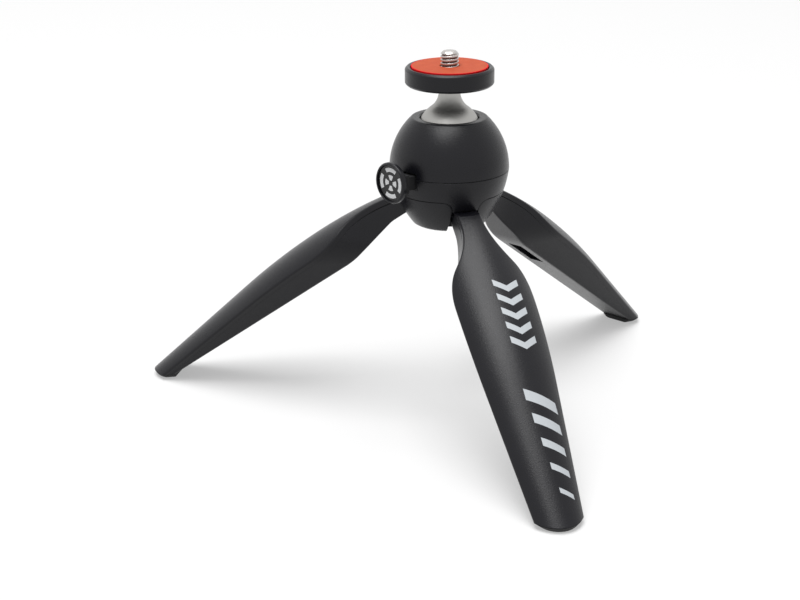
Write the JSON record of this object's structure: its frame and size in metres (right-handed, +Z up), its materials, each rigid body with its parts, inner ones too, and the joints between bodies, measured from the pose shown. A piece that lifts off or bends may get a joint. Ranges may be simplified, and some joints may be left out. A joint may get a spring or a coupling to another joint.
{
  "type": "mini tripod",
  "caption": "Folding table-top tripod with curved legs, a ball head released by a push button, and a round camera plate with a threaded screw.",
  "frame": {"origin": "foot of the camera screw's thread, on the screw's axis, 0.1 mm above the pad", "axes": "+Z up along the camera screw, away from the legs; the front leg points to -Y"},
  "size_m": [0.2008, 0.1766, 0.1299],
  "materials": {
    "charcoal_plastic": "satin, finely grained",
    "inner_plastic": "matt",
    "gloss_plastic": "semi-gloss",
    "pad_rubber": "matt",
    "boot_rubber": "matt",
    "aluminium": "satin, turned",
    "steel": "bright"
  },
  "bodies": {
    "base": {"upper_housing": "charcoal_plastic", "lower_housing": "charcoal_plastic", "leg_carrier": "inner_plastic", "hub_plate": "charcoal_plastic", "hub_screw": "steel", "button_sleeve": "inner_plastic", "clamp_spring": "steel", "return_spring": "steel", "lobe_cover_back": "charcoal_plastic", "lobe_cover_button": "charcoal_plastic", "lobe_cover_front_right": "charcoal_plastic", "hinge_pin_front": "steel", "hinge_pin_right": "steel", "hinge_pin_left": "steel"},
    "pan": {"pan_ring": "inner_plastic"},
    "ball": {"ball_stem": "aluminium"},
    "platform": {"camera_screw": "steel", "camera_pad": "pad_rubber", "platform_disc": "charcoal_plastic"},
    "clamp": {"clamp_cup": "inner_plastic", "clamp_nut": "steel"},
    "button": {"button_cap": "charcoal_plastic", "button_face": "gloss_plastic", "button_plunger": "inner_plastic"},
    "leg_front": {"leg_core_front": "charcoal_plastic", "leg_cover_front": "charcoal_plastic", "leg_boot_front": "boot_rubber", "washer_front_a": "inner_plastic", "washer_front_b": "inner_plastic"},
    "leg_right": {"leg_core_right": "charcoal_plastic", "leg_cover_right": "charcoal_plastic", "leg_boot_right": "boot_rubber", "washer_right_a": "inner_plastic", "washer_right_b": "inner_plastic"},
    "leg_left": {"leg_core_left": "charcoal_plastic", "leg_cover_left": "charcoal_plastic", "leg_boot_left": "boot_rubber", "washer_left_a": "inner_plastic", "washer_left_b": "inner_plastic"}
  },
  "joints": [
    {"name": "leg_fold_front", "type": "hinge", "parent": "base", "child": "leg_front", "pos_m": [0, -0.0115, -0.04795], "axis": [1, 0, 0], "range_deg": [0, 54.7]},
    {"name": "leg_fold_right", "type": "hinge", "parent": "base", "child": "leg_right", "pos_m": [0.00996, 0.00575, -0.04795], "axis": [-0.5, 0.866, 0], "range_deg": [0, 54.7]},
    {"name": "leg_fold_left", "type": "hinge", "parent": "base", "child": "leg_left", "pos_m": [-0.00996, 0.00575, -0.04795], "axis": [-0.5, -0.866, 0], "range_deg": [0, 54.7]},
    {"name": "pan", "type": "hinge", "parent": "base", "child": "pan", "pos_m": [0, 0, -0.024], "axis": [0, 0, 1], "continuous": true},
    {"name": "tilt", "type": "hinge", "parent": "pan", "child": "ball", "pos_m": [0, 0, -0.024], "axis": [0, 1, 0], "range_deg": [-25, 25]},
    {"name": "spin", "type": "hinge", "parent": "ball", "child": "platform", "pos_m": [0, 0, -0.024], "axis": [0, 0, 1], "continuous": true},
    {"name": "button_press", "type": "slide", "parent": "base", "child": "button", "axis": [0.9048, 0.4258, 0], "range_m": [0, 0.003], "stiffness_N_per_m": 400, "springref_m": -0.003, "deforming": ["return_spring"]},
    {"name": "clamp_release", "type": "slide", "parent": "base", "child": "clamp", "axis": [0, 0, -1], "range_m": [0, 0.00045], "stiffness_N_per_m": 400, "springref_m": -0.002, "deforming": ["clamp_spring"]}
  ],
  "couplings": [
    {"joint": "clamp_release", "follows": "button_press", "ratio": 0.15}
  ]
}
